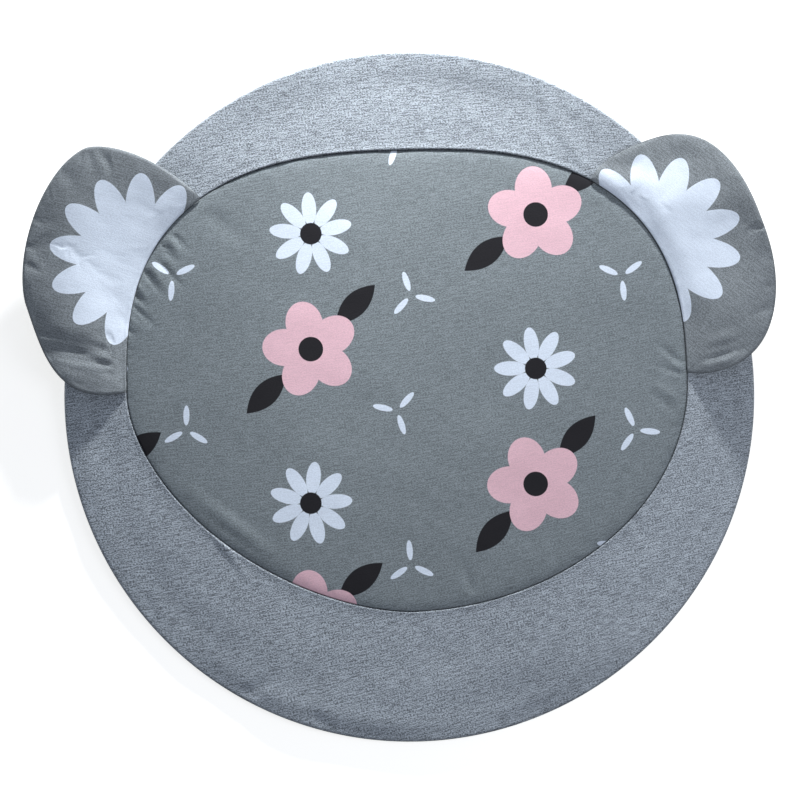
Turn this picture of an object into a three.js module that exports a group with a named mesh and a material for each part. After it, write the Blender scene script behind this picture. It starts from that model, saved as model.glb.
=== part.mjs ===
// A round padded play mat for a baby, lying flat. Its front is pieced: a wide oval panel is set into a ring of heather
// jersey, flush with it, and two rounded ear flaps are caught in the seam between them. Each ear is a thin pad that
// rises from its root, lies on the ring with its middle, holds its rim up off the ring and sags a little past the mat.
// Millimetres. X runs to the right, Y to the mat's top edge and Z up. The origin is on the floor under the disc's middle.
import * as THREE from "three";
import { ParametricGeometry } from "three/addons/geometries/ParametricGeometry.js";

// Driving dimensions
const discRadius = 450;
const gap = 0.3; // between pieces that lie on or against each other

const disc = {
  loft: 15, // height of the ring of cloth round the panel
  seamLow: 3.4, // the rim's seam stands off the floor
  seamHigh: 4.6,
  underRim: 16, // the underside curls up over this width
  shoulder: 11, // the top rounds off over this width
  thinning: 5, // the padding thins out towards the lower rim
  thinningWidth: 62,
  seat: 5, // floor of the hollow that the panel is set into
  groove: 9, // the seam along the panel draws the ring in over this width
  grooveDepth: 2.6,
  seamGap: 0.6, // from the panel's edge
};

const panel = {
  roll: 10, // the seam draws the panel in over this width
  crown: 3, // rise from there to its middle
  crownWidth: 240,
};

const ear = {
  edge: 2.4, // thickness at its root
  least: 1.6, // about the least thickness anywhere, which the thickness runs into softly
  bowAway: 30, // the bow grows away from the root over this width
  loft: 6, // what the filling adds over the root's width
  rootWidth: 28,
  rootGap: 1.1, // from the panel's edge
  rootLevel: 13.9, // height of its underside at the root
  lie: 15.5, // and where it lies on the ring
  lieFrom: 4, // reached so far from the root
  rimHalf: 3.2, // half its thickness at the rim
  rimRoll: 8, // the top rounds off over this width
  underRoll: 9,
  bellyFrom: 9, // the underside comes down from the rim to the ring between these distances from the edge
  bellyTo: 80,
  sagFrom: 440, // distances sideways between which the flap sags past the mat's rim
  sagTo: 508,
  sag: 11, // of its underside
  fallLow: 70, // the upper end is lower near the root: heights up the mat over which that grows
  fallHigh: 290,
};

// Rounded ovals: |x / halfWidth|^n + |y / halfHeight|^n = 1. The half height is one number above the middle and
// another below, the power n has its own value above, below to the left and below to the right, and the whole is
// turned anticlockwise by so many degrees.
const ovals = {
  panel: {
    x: -3, y: 11, halfWidth: 364.5, up: 310, down: 290, turn: 1.6,
    powerUp: 2.67, powerDownLeft: 1.72, powerDownRight: 1.97,
  },
  earLeft: {
    x: -364.5, y: 161.5, halfWidth: 137.5, up: 167.5, down: 149, turn: 17.8,
    powerUp: 1.6, powerDownLeft: 3.4, powerDownRight: 3.4,
  },
  earRight: {
    x: 354, y: 184, halfWidth: 110, up: 156, down: 157.5, turn: 21,
    powerUp: 2.8, powerDownLeft: 2.15, powerDownRight: 2.15,
  },
};

// The flaps: the middle from which the loops of points spread; how far the top rises away from the root, and over
// which width, at the lower and the upper end, with the heights up the mat between which it changes; the share by
// which the upper end rises less near the root, and the distances from the root over which that fades; how far the
// top bows down at one end, and the heights up the mat over which it does; how far it sags past the mat's rim
const ears = {
  earLeft: {
    node: "ear_left", x: -442, y: 190, lowRise: 18, lowWidth: 40, rise: 29, riseWidth: 72, rootLow: 40, rootHigh: 170,
    upperFall: 0.25, fallFrom: 60, fallTo: 220, bow: 2, bowFrom: 34, bowTo: 4, sag: 8,
  },
  earRight: {
    node: "ear_right", x: 406, y: 226, lowRise: 23, lowWidth: 48, rise: 31, riseWidth: 88, rootLow: 95, rootHigh: 245,
    upperFall: 0.7, fallFrom: 50, fallTo: 180, bow: 17, bowFrom: 245, bowTo: 350, sag: 14,
  },
};

// Soft folds: each runs straight from one point to another, so wide, and rises or dips so far at its middle.
const folds = {
  disc: [
    { fromX: 158, fromY: 418, toX: 238, toY: 276, width: 24, rise: 1.5 },
    { fromX: -266, fromY: -158, toX: -196, toY: -256, width: 22, rise: 1.2 },
    { fromX: -228, fromY: -396, toX: -160, toY: -358, width: 34, rise: -2.0 },
    { fromX: -140, fromY: -405, toX: -96, toY: -432, width: 28, rise: -1.4 },
    { fromX: 314, fromY: -272, toX: 372, toY: -246, width: 26, rise: 1.0 },
    { fromX: 284, fromY: -142, toX: 322, toY: -206, width: 24, rise: -1.0 },
    { fromX: -350, fromY: -246, toX: -330, toY: -292, width: 24, rise: -0.9 },
  ],
  panel: [
    { fromX: -320, fromY: -98, toX: -140, toY: -232, width: 30, rise: 1.3 },
    { fromX: -276, fromY: 252, toX: -196, toY: 186, width: 34, rise: -0.9 },
    { fromX: -352, fromY: 168, toX: -296, toY: 122, width: 26, rise: -1.0 },
    { fromX: 352, fromY: 60, toX: 306, toY: 18, width: 28, rise: -1.0 },
    { fromX: 84, fromY: -258, toX: 66, toY: -200, width: 26, rise: -0.9 },
  ],
  earLeft: [
    { fromX: -498, fromY: 100, toX: -430, toY: 66, width: 22, rise: -2.0 },
    { fromX: -486, fromY: 76, toX: -420, toY: 42, width: 26, rise: 1.2 },
    { fromX: -412, fromY: 92, toX: -370, toY: 50, width: 20, rise: -1.4 },
    { fromX: -392, fromY: 316, toX: -372, toY: 276, width: 20, rise: -1.2 },
  ],
  earRight: [
    { fromX: 520, fromY: 290, toX: 380, toY: 300, width: 240, rise: 7 },
    { fromX: 470, fromY: 222, toX: 436, toY: 206, width: 16, rise: -2.2 },
    { fromX: 472, fromY: 124, toX: 428, toY: 92, width: 24, rise: -1.4 },
    { fromX: 436, fromY: 282, toX: 398, toY: 262, width: 20, rise: -1.1 },
  ],
};

// Where the loops of points lie: at insets from an edge, then at shares of the way from the middle
const discSlices = 160;
const shoulderInsets = [0, 1.2, 3.5, 7, disc.shoulder, 24, 42, disc.thinningWidth];
const ringSteps = [0.8, 0.6, 0.4, 0.2, 0];
const grooveInsets = [5, 2, 0.4, 0.02, -0.13]; // the last is the foot of the hollow's wall
const discUnderInsets = [0, 5, disc.underRim];
const discUnderShares = [0.5];
const panelSlices = 128;
const panelInsets = [0, 1.2, 3.5, 6.5, panel.roll];
const panelShares = [0.88, 0.75, 0.6, 0.4, 0.2];
const earSlices = 72;
const earUnderInsets = [0, 3, ear.underRoll, 26];
const earUnderShares = [0.84, 0.68, 0.52, 0.36, 0.18];
const earInsets = [0, 1.2, 4, ear.rimRoll, 26];
const earShares = [0.8, 0.6, 0.4, 0.2];
const edgeSearchSteps = 30;

// A quarter of an ellipse: 0 at the edge, 1 from so far in.
function rounded(depth, width) {
  const left = 1 - THREE.MathUtils.clamp(depth / width, 0, 1);
  return Math.sqrt(1 - left * left);
}

// How far a point lies inside an oval, measured along the ray from the oval's middle. Negative outside it.
function insideOval(oval, x, y) {
  const turn = THREE.MathUtils.degToRad(-oval.turn);
  const across = (x - oval.x) * Math.cos(turn) - (y - oval.y) * Math.sin(turn);
  const along = (x - oval.x) * Math.sin(turn) + (y - oval.y) * Math.cos(turn);
  const halfHeight = along > 0 ? oval.up : oval.down;
  const powerDown = across < 0 ? oval.powerDownLeft : oval.powerDownRight;
  const power = along > 0 ? oval.powerUp : powerDown;
  const share = (Math.abs(across / oval.halfWidth) ** power + Math.abs(along / halfHeight) ** power) ** (1 / power);
  if (share === 0) return Math.min(oval.halfWidth, halfHeight);
  return Math.hypot(across, along) * (1 / share - 1);
}

const insidePanel = (x, y) => insideOval(ovals.panel, x, y);
const insideDisc = (x, y) => discRadius - Math.hypot(x, y);
const insideEar = (name) => (x, y) => Math.min(insideOval(ovals[name], x, y), -insidePanel(x, y) - ear.rootGap);

// The length of the ray from a point inside an outline to that outline.
function reach(inside, middle, angle, longest = 2 * discRadius) {
  let near = 0;
  let far = longest;
  for (let step = 0; step < edgeSearchSteps; step++) {
    const half = (near + far) / 2;
    if (inside(middle.x + half * Math.cos(angle), middle.y + half * Math.sin(angle)) > 0) near = half;
    else far = half;
  }
  return near;
}

// The height that a piece's folds add at a point: round across the fold, and fading out towards both its ends.
function foldHeight(name, x, y) {
  let height = 0;
  for (const { fromX, fromY, toX, toY, width, rise } of folds[name]) {
    const length = Math.hypot(toX - fromX, toY - fromY);
    const along = ((x - fromX) * (toX - fromX) + (y - fromY) * (toY - fromY)) / length;
    const off = Math.abs((x - fromX) * (toY - fromY) - (y - fromY) * (toX - fromX)) / length;
    if (along <= 0 || along >= length || off >= width / 2) continue;
    height += rise * Math.cos((Math.PI * off) / width) ** 2 * Math.sin((Math.PI * along) / length);
  }
  return height;
}

// A parabola: 0 at the edge, 1 from so far in.
function eased(depth, width) {
  const left = 1 - THREE.MathUtils.clamp(depth / width, 0, 1);
  return 1 - left * left;
}

const seamLevel = disc.loft - disc.grooveDepth; // height of the seam round the panel

function discTop(x, y) {
  const pastPanel = -insidePanel(x, y) - disc.seamGap;
  if (pastPanel <= 0) return disc.seat;
  const inside = insideDisc(x, y);
  const lowness = THREE.MathUtils.smoothstep(-y, 0, discRadius);
  const thin = disc.thinning * lowness * (1 - eased(inside, disc.thinningWidth));
  const ring = disc.seamHigh + (disc.loft - disc.seamHigh - thin) * rounded(inside, disc.shoulder);
  const open = rounded(pastPanel, disc.groove); // 0 at the seam, 1 past its groove
  return Math.min(ring, seamLevel + disc.grooveDepth * open) + foldHeight("disc", x, y) * open;
}

function discUnderside(x, y) {
  return disc.seamLow * (1 - rounded(insideDisc(x, y), disc.underRim));
}

function panelTop(x, y) {
  const depth = insidePanel(x, y);
  const open = rounded(depth, panel.roll);
  const crown = panel.crown * eased(depth - panel.roll, panel.crownWidth);
  return seamLevel + disc.grooveDepth * open + crown + foldHeight("panel", x, y) * open;
}

// A flap's heights at a point: its top before the rim rounds off, the bed that its middle lies on, and the seam round
// its rim, halfway between the top and the underside there.
function earLevels(name, x, y) {
  const flap = ears[name];
  const fromRoot = Math.max(-insidePanel(x, y) - disc.seamGap, 0);
  const away = THREE.MathUtils.smoothstep(Math.abs(x), ear.sagFrom, ear.sagTo);
  const upper = THREE.MathUtils.smoothstep(y, ear.fallLow, ear.fallHigh);
  const near = 1 - THREE.MathUtils.smoothstep(fromRoot, flap.fallFrom, flap.fallTo);
  const higher = THREE.MathUtils.smoothstep(y, flap.rootLow, flap.rootHigh);
  const width = THREE.MathUtils.lerp(flap.lowWidth, flap.riseWidth, higher);
  const highest = THREE.MathUtils.lerp(flap.lowRise, flap.rise, higher);
  const rise = highest * (1 - Math.exp(-((fromRoot / width) ** 2))) * (1 - flap.upperFall * upper * near);
  const bowing = THREE.MathUtils.smoothstep((y - flap.bowFrom) / (flap.bowTo - flap.bowFrom), 0, 1);
  const bowed = flap.bow * bowing * (1 - Math.exp(-((fromRoot / ear.bowAway) ** 2)));
  const filled = ear.edge + ear.loft * eased(fromRoot, ear.rootWidth);
  const bed = ear.rootLevel + (ear.lie - ear.rootLevel) * rounded(fromRoot, ear.lieFrom) - ear.sag * away;
  const thickness = ear.rootLevel + filled + rise - bowed - flap.sag * away - bed;
  const crest = bed + (thickness + ear.least + Math.hypot(thickness - ear.least, ear.least)) / 2;
  const half = Math.min(ear.rimHalf, 0.45 * (crest - bed));
  return { crest, bed, half, seam: crest - half };
}

function earUnderside(name, x, y) {
  const { bed, half, seam } = earLevels(name, x, y);
  const inside = insideOval(ovals[name], x, y);
  const down = THREE.MathUtils.smoothstep(inside, ear.bellyFrom, ear.bellyTo);
  const belly = seam - half + (bed - seam + half) * down;
  return seam + (belly - seam) * rounded(inside, ear.underRoll);
}

function earTop(name, x, y) {
  const { crest, half } = earLevels(name, x, y);
  const open = rounded(insideEar(name)(x, y), ear.rimRoll);
  return crest - half * (1 - rounded(insideOval(ovals[name], x, y), ear.rimRoll)) + foldHeight(name, x, y) * open;
}

// Distances of a pad's loops along one ray: some at set insets from the edge, then shares of what is left.
function loops(edge, insets, shares) {
  const inner = edge - insets.at(-1);
  return [...insets.map((inset) => edge - inset), ...shares.map((share) => inner * share)];
}

// The disc's loops follow its rim and the panel's edge, with even steps across the ring between them.
function discLoops(angle) {
  const rim = reach(insideDisc, ovals.panel, angle);
  const seam = reach(insidePanel, ovals.panel, angle) + disc.seamGap;
  const ringOuter = rim - disc.thinningWidth;
  const ringInner = seam + disc.groove;
  const across = ringSteps.map((share) => ringInner + (ringOuter - ringInner) * share);
  const dip = grooveInsets.map((inset) => seam + inset);
  return [...shoulderInsets.map((inset) => rim - inset), ...across, ...dip, seam / 2];
}

// A closed pad from loops of points round a middle: out along the underside, up the rim and in along the top.
// Both lists of loops give distances from the middle, the outermost first.
function padGeometry({ middle, slices, underLoops, topLoops, underside, top }) {
  const rays = Array.from({ length: slices }, (_, slice) => {
    const angle = (slice * 2 * Math.PI) / slices;
    return { angle, under: [...underLoops(angle), 0].reverse(), top: [...topLoops(angle), 0] };
  });
  const underCount = rays[0].under.length;
  const lastLoop = underCount + rays[0].top.length - 1;
  const place = (around, through, point) => {
    const ray = rays[Math.round(around * slices) % slices];
    const loop = Math.round(through * lastLoop);
    const onTop = loop >= underCount;
    const distance = onTop ? ray.top[loop - underCount] : ray.under[loop];
    const x = middle.x + distance * Math.cos(ray.angle);
    const y = middle.y + distance * Math.sin(ray.angle);
    point.set(x, y, onTop ? top(x, y) : underside(x, y));
  };
  const geometry = new ParametricGeometry(place, slices, lastLoop);
  geometry.computeVertexNormals();
  return geometry;
}

const heatherJersey = new THREE.MeshStandardMaterial({ color: 0xa3adb8, roughness: 0.95, metalness: 0 });
const greyJersey = new THREE.MeshStandardMaterial({ color: 0x7d868d, roughness: 0.92, metalness: 0 });

function cloth(name, material, shape) {
  const mesh = new THREE.Mesh(padGeometry(shape), material);
  mesh.name = name;
  return mesh;
}

const discPad = cloth("disc_pad", heatherJersey, {
  middle: ovals.panel,
  slices: discSlices,
  underLoops: (angle) => loops(reach(insideDisc, ovals.panel, angle), discUnderInsets, discUnderShares),
  topLoops: discLoops,
  underside: discUnderside,
  top: discTop,
});

const frontPanel = cloth("front_panel", greyJersey, {
  middle: ovals.panel,
  slices: panelSlices,
  underLoops: (angle) => [reach(insidePanel, ovals.panel, angle)],
  topLoops: (angle) => loops(reach(insidePanel, ovals.panel, angle), panelInsets, panelShares),
  underside: () => disc.seat + gap,
  top: panelTop,
});

const earFlaps = Object.entries(ears).map(([name, flap]) =>
  cloth(flap.node, greyJersey, {
    middle: flap,
    slices: earSlices,
    underLoops: (angle) => loops(reach(insideEar(name), flap, angle), earUnderInsets, earUnderShares),
    topLoops: (angle) => loops(reach(insideEar(name), flap, angle), earInsets, earShares),
    underside: (x, y) => earUnderside(name, x, y),
    top: (x, y) => earTop(name, x, y),
  }),
);

const mat = new THREE.Group();
mat.add(discPad, frontPanel, ...earFlaps);

export default mat;
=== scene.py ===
import math

import bpy
import numpy as np
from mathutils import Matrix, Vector


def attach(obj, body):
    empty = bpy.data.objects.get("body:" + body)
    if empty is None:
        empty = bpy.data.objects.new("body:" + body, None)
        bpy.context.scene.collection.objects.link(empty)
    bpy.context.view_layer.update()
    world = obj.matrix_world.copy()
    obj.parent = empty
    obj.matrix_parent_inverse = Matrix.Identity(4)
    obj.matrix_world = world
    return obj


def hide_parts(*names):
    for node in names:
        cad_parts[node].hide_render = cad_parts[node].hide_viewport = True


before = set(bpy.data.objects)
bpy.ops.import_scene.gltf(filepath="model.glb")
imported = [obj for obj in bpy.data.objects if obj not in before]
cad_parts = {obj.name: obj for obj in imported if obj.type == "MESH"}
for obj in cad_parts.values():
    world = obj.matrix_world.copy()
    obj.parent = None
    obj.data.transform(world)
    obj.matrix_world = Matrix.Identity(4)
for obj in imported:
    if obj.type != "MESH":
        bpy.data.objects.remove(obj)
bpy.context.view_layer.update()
print("frame loaded:", sorted(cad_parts))

mm = 0.001  # sizes below are in millimetres, and the scene is in metres
scene = bpy.context.scene
scene.view_settings.view_transform = "Standard"  # so that a colour on the cloth is the colour in the picture


# studio: camera straight above, a small lamp low behind the mat's top edge, a wide soft one, pale floor

def linearColour(code):  # "#rrggbb" as it looks on a screen, to the linear colour that shaders take
    steps = [int(code[at:at + 2], 16) / 255 for at in (1, 3, 5)]
    return tuple(s / 12.92 if s <= 0.04045 else ((s + 0.055) / 1.055) ** 2.4 for s in steps) + (1.0,)


def addNode(tree, kind, settings=None, links=None):  # a link is another node's socket, or a plain value
    node = tree.nodes.new(kind)
    for name, value in (settings or {}).items():
        setattr(node, name, value)
    for socket, source in (links or {}).items():
        if isinstance(source, bpy.types.NodeSocket):
            tree.links.new(source, node.inputs[socket])
        else:
            node.inputs[socket].default_value = source
    return node


studio = {
    "cameraX": -12.2, "cameraY": -4.0, "cameraZ": 2905, "lens": 100, "sensor": 36,
    "farthest": 50,  # that the camera sees, in metres
    "floorSize": 9000, "floorDrop": 0.4, "floorColour": "#f8f6f3", "floorRoughness": 0.9,
    "floorGlow": 0.62, "floorGlowColour": "#fffdf8",  # lifts the shadows round the mat
    "roomColour": "#e2edff", "roomStrength": 0.37,
}
# name, x, y, z, place on the floor that it is aimed at, size, watts, spread in degrees, colour
lamps = [
    ("softbox", 200, 1650, 370, -70, 150, 120, 10.8, 70, "#f3f8fc"),
    ("reflector", 950, -250, 800, 0, 0, 700, 3.4, 180, "#f4f8ff"),
]

lens = bpy.data.cameras.new("camera")
lens.lens = studio["lens"]
lens.sensor_width = studio["sensor"]
lens.clip_end = studio["farthest"]
camera = bpy.data.objects.new("camera", lens)
camera.location = (studio["cameraX"] * mm, studio["cameraY"] * mm, studio["cameraZ"] * mm)
scene.collection.objects.link(camera)
scene.camera = camera

for name, x, y, z, aimX, aimY, size, watts, spread, colour in lamps:
    lamp = bpy.data.lights.new(name, "AREA")
    lamp.shape = "DISK"
    lamp.size = size * mm
    lamp.energy = watts
    lamp.spread = math.radians(spread)
    lamp.color = linearColour(colour)[:3]
    stand = bpy.data.objects.new(name, lamp)
    stand.location = Vector((x, y, z)) * mm
    aim = Vector((aimX, aimY, 0)) * mm - stand.location
    stand.rotation_euler = aim.to_track_quat("-Z", "Y").to_euler()
    stand.visible_camera = False
    scene.collection.objects.link(stand)

world = bpy.data.worlds.new("pale room")
world.use_nodes = True
scene.world = world
world.node_tree.nodes["Background"].inputs["Color"].default_value = linearColour(studio["roomColour"])
world.node_tree.nodes["Background"].inputs["Strength"].default_value = studio["roomStrength"]

paintedFloor = bpy.data.materials.new("matt painted floor")  # flat white paint, no gloss
paintedFloor.use_nodes = True
floorPaint = paintedFloor.node_tree.nodes["Principled BSDF"].inputs
floorPaint["Base Color"].default_value = linearColour(studio["floorColour"])
floorPaint["Roughness"].default_value = studio["floorRoughness"]
floorPaint["Emission Color"].default_value = linearColour(studio["floorGlowColour"])
floorPaint["Emission Strength"].default_value = studio["floorGlow"]
half = studio["floorSize"] / 2 * mm
floorMesh = bpy.data.meshes.new("floor")
corners = [(-half, -half, 0), (half, -half, 0), (half, half, 0), (-half, half, 0)]
floorMesh.from_pydata(corners, [], [(0, 1, 2, 3)])
floorMesh.materials.append(paintedFloor)
floor = bpy.data.objects.new("floor", floorMesh)
floor.location.z = -studio["floorDrop"] * mm
scene.collection.objects.link(floor)
print("studio set")


# outlines, the same as the solids': |x / halfWidth|^n + |y / halfHeight|^n = 1, turned a little

outlines = {
    "panel": {"x": -3, "y": 11, "halfWidth": 364.5, "up": 310, "down": 290, "turn": 1.6,
              "powerUp": 2.67, "powerDownLeft": 1.72, "powerDownRight": 1.97},
    "earLeft": {"x": -364.5, "y": 161.5, "halfWidth": 137.5, "up": 167.5, "down": 149, "turn": 17.8,
                "powerUp": 1.6, "powerDownLeft": 3.4, "powerDownRight": 3.4},
    "earRight": {"x": 354, "y": 184, "halfWidth": 110, "up": 156, "down": 157.5, "turn": 21,
                 "powerUp": 2.8, "powerDownLeft": 2.15, "powerDownRight": 2.15},
}
discRadius = 450
rootGap = 0.3  # between an ear and the panel's edge
searchSteps = 40  # halvings, in the search for an outline along a ray


def insideOval(name, x, y):  # how far a point lies inside an outline, along the ray from its middle
    oval = outlines[name]
    turn = math.radians(-oval["turn"])
    # the small shift gives the middle itself a ray
    across = (x - oval["x"]) * math.cos(turn) - (y - oval["y"]) * math.sin(turn) + 1e-3
    along = (x - oval["x"]) * math.sin(turn) + (y - oval["y"]) * math.cos(turn)
    halfHeight = np.where(along > 0, oval["up"], oval["down"])
    powerDown = np.where(across < 0, oval["powerDownLeft"], oval["powerDownRight"])
    power = np.where(along > 0, oval["powerUp"], powerDown)
    share = (np.abs(across / oval["halfWidth"]) ** power + np.abs(along / halfHeight) ** power) ** (1 / power)
    return np.hypot(across, along) * (1 / np.maximum(share, 1e-12) - 1)


def insidePanel(x, y):
    return insideOval("panel", x, y)


def insideDisc(x, y):
    return discRadius - np.hypot(x, y)


def insideEar(name, x, y):
    return np.minimum(insideOval(name, x, y), -insidePanel(x, y) - rootGap)


def reach(inside, middleX, middleY, angle):  # length of each ray from the middle to the outline
    near = np.zeros_like(angle)
    far = np.full_like(angle, 2.0 * discRadius)
    for step in range(searchSteps):
        middle = (near + far) / 2
        within = inside(middleX + middle * np.cos(angle), middleY + middle * np.sin(angle)) > 0
        near = np.where(within, middle, near)
        far = np.where(within, far, middle)
    return near


def rounded(depth, width):  # a quarter of an ellipse: 0 at the edge, 1 from so far in
    left = 1 - np.clip(depth / width, 0, 1)
    return np.sqrt(1 - left * left)


def eased(depth, width):
    left = 1 - np.clip(depth / width, 0, 1)
    return 1 - left * left


def smoothStep(value, low, high):
    share = np.clip((value - low) / (high - low), 0, 1)
    return share * share * (3 - 2 * share)


# what the needle and the wadding do to the cloth

def creaseHeight(creases, x, y):
    # a row: from x y, to x y, width, rise, and where along it, from 0 to 1, the crease is highest
    height = np.zeros_like(x)
    for fromX, fromY, toX, toY, width, rise, peak in creases:
        length = math.hypot(toX - fromX, toY - fromY)
        along = ((x - fromX) * (toX - fromX) + (y - fromY) * (toY - fromY)) / length ** 2
        off = ((x - fromX) * (toY - fromY) - (y - fromY) * (toX - fromX)) / length
        ends = smoothStep(along, 0, peak) * (1 - smoothStep(along, peak, 1))
        height += rise * ends * np.where(np.abs(off) < width / 2, np.cos(np.pi * off / width) ** 2, 0)
    return height


waveSpread = (0.75, 1.3)  # the shortest and the longest wave, as shares of the wavelength


def looseFilling(x, y, seed, sizes):  # a soft unevenness: rows of wavelength, height and number of waves
    dice = np.random.default_rng(seed)
    height = np.zeros_like(x)
    for wavelength, rise, count in sizes:
        for wave in range(count):
            heading, shift = dice.uniform(0, 2 * np.pi, 2)
            pace = 2 * np.pi / (wavelength * dice.uniform(*waveSpread))
            travelled = x * math.cos(heading) + y * math.sin(heading)
            height += rise / math.sqrt(count) * np.sin(pace * travelled + shift)
    return height


# how unlike each other the gathers are: the most that one is moved and the least and most of its width, as
# shares of the spacing, of its length, as shares of the length, and of its rise, in millimetres
gatherSpread = {"moved": 0.4, "wide": (0.25, 0.5), "long": (0.5, 1.5), "rise": (-1, 0.7)}


def seamGathers(angle, depth, seed, radius, spacing, length):  # small puckers that run in from a seam
    dice = np.random.default_rng(seed)
    count = int(2 * np.pi * radius / spacing)
    height = np.zeros_like(angle)
    moved = dice.uniform(-gatherSpread["moved"], gatherSpread["moved"], count)
    for spot in (np.arange(count) + moved) * 2 * np.pi / count:
        wide = spacing * dice.uniform(*gatherSpread["wide"])
        long = length * dice.uniform(*gatherSpread["long"])
        rise = dice.uniform(*gatherSpread["rise"])
        off = ((angle - spot + np.pi) % (2 * np.pi) - np.pi) * radius
        height += rise * np.exp(-(off / wide) ** 2) * np.exp(-depth / long)
    return height


def strongerAt(angle, base, places):  # rows of angle, half width, both in degrees, and how much is added
    strength = np.full_like(angle, float(base))
    for middle, halfWidth, extra in places:
        off = (np.degrees(angle) - middle + 180) % 360 - 180
        strength += extra * np.exp(-(off / halfWidth) ** 2)
    return strength


# grids of points

def squareGrid(cells):  # a square grid bent into a disc: each point's angle, and the loop that it is on
    side = np.linspace(-1, 1, cells + 1)
    a, b = np.meshgrid(side, side, indexing="ij")
    wide = np.abs(a) > np.abs(b)
    ratio = np.where(wide, b / np.where(a == 0, 1, a), a / np.where(b == 0, 1, b))
    sideways = np.pi / 4 * ratio + np.pi * (a < 0)
    upwards = np.pi / 2 - np.pi / 4 * ratio + np.pi * (b < 0)
    angle = np.where(wide, sideways, upwards)
    loop = np.rint(np.maximum(np.abs(a), np.abs(b)) * cells / 2).astype(int)
    return angle, loop


def gridFaces(rows, columns, flip=False):
    index = np.arange(rows * columns).reshape(rows, columns)
    quads = np.stack([index[:-1, :-1], index[1:, :-1], index[1:, 1:], index[:-1, 1:]], -1).reshape(-1, 4)
    return quads[:, ::-1] if flip else quads


def edgeLoop(cells):  # a square grid's edge points in order, anticlockwise seen from above
    n = cells
    pairs = [(i, 0) for i in range(n)] + [(n, j) for j in range(n)]
    pairs += [(i, n) for i in range(n, 0, -1)] + [(0, j) for j in range(n, 0, -1)]
    return np.array([i * (n + 1) + j for i, j in pairs])


def makePiece(name, points, faces, flat, seam, material):
    mesh = bpy.data.meshes.new(name)
    mesh.from_pydata((points * mm).tolist(), [], [list(face) for face in faces])
    paintedSeamShade = mesh.attributes.new("seam", "FLOAT", "POINT")  # 1 where shade is painted into the cloth's colour along a seam
    paintedSeamShade.data.foreach_set("value", np.clip(seam, 0, 1).astype(np.float32))
    cloth = mesh.uv_layers.new(name="cloth")  # where each point lies on the flat cloth, in millimetres
    corners = np.empty(len(mesh.loops), int)
    mesh.loops.foreach_get("vertex_index", corners)
    cloth.data.foreach_set("uv", flat[corners].astype(np.float32).ravel())
    mesh.polygons.foreach_set("use_smooth", np.ones(len(mesh.polygons), bool))
    mesh.materials.append(material)
    mesh.validate()
    mesh.update()
    piece = bpy.data.objects.new(name, mesh)
    scene.collection.objects.link(piece)
    return piece


# cloth simulation of a pad's upper side: the cloth is cut a little larger than its place and sewn down at
# the edge, and the wadding under it pushes up and holds it

simulation = {
    "frames": 16, "quality": 4, "pressure": 1.6, "tension": 12, "bending": 0.25, "mass": 0.2,
    "spare": 0.06,  # the most that the cloth is cut too large, as a share
    "levels": 40,  # steps of the weights, from 0 to 1
}


def settledCloth(name, points, hold, slack, closedRound, cap):
    rows, columns = points.shape[:2]
    mesh = bpy.data.meshes.new(name + "Cloth")
    faces = gridFaces(rows, columns)
    if closedRound:
        index = np.arange(rows * columns).reshape(rows, columns)
        last = np.stack([index[-1, :-1], index[0, :-1], index[0, 1:], index[-1, 1:]], -1)
        faces = np.concatenate([faces, last])
    mesh.from_pydata((points.reshape(-1, 3) * mm).tolist(), [], faces.tolist())
    sewn = bpy.data.objects.new(name + "Cloth", mesh)
    scene.collection.objects.link(sewn)
    for group, amounts in (("hold", hold), ("slack", slack)):
        made = sewn.vertex_groups.new(name=group)
        amounts = np.clip(amounts.ravel(), 0, 1)
        levels = np.rint(amounts * simulation["levels"])
        for level in np.unique(levels):
            members = np.nonzero(levels == level)[0]
            made.add(members.tolist(), float(level / simulation["levels"]), "REPLACE")
    modifier = sewn.modifiers.new("cloth", "CLOTH")
    settings = modifier.settings
    settings.quality = simulation["quality"]
    settings.mass = simulation["mass"]
    settings.tension_stiffness = simulation["tension"]
    settings.compression_stiffness = simulation["tension"]
    settings.shear_stiffness = simulation["tension"] / 2
    settings.bending_stiffness = simulation["bending"]
    settings.vertex_group_mass = "hold"
    settings.pin_stiffness = 1.0
    settings.vertex_group_shrink = "slack"
    settings.shrink_min = 0.0
    settings.shrink_max = -simulation["spare"]
    settings.use_pressure = True
    settings.uniform_pressure_force = simulation["pressure"]
    settings.effector_weights.gravity = 0
    modifier.collision_settings.use_collision = False
    modifier.point_cache.frame_start = 1
    modifier.point_cache.frame_end = simulation["frames"]
    for step in range(1, simulation["frames"] + 1):
        scene.frame_set(step)
    settled = sewn.evaluated_get(bpy.context.evaluated_depsgraph_get())
    moved = np.empty(len(settled.data.vertices) * 3, np.float32)
    settled.data.vertices.foreach_get("co", moved)
    move = moved.reshape(points.shape) / mm - points
    bpy.data.objects.remove(sewn)
    bpy.data.meshes.remove(mesh)
    scene.frame_set(1)
    far = np.linalg.norm(move, axis=-1, keepdims=True)
    print(f"{name}: cloth moved {far.mean():.2f} mm on average, {far.max():.2f} mm at most")
    return np.round(move * np.tanh(far / cap) * cap / np.maximum(far, 1e-6), 3)


def refined(coarse, closedRound):  # values at every other point of a grid, brought to all its points
    if closedRound:
        coarse = np.concatenate([coarse, coarse[:1]])
    for axis in (0, 1):
        after = np.roll(coarse, -1, axis)
        between = (coarse + after) / 2
        both = np.stack([coarse, between], axis + 1)
        shape = list(coarse.shape)
        shape[axis] *= 2
        coarse = np.delete(both.reshape(shape), -1, axis)
    return coarse[:-1] if closedRound else coarse


# cloth finishes

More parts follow.
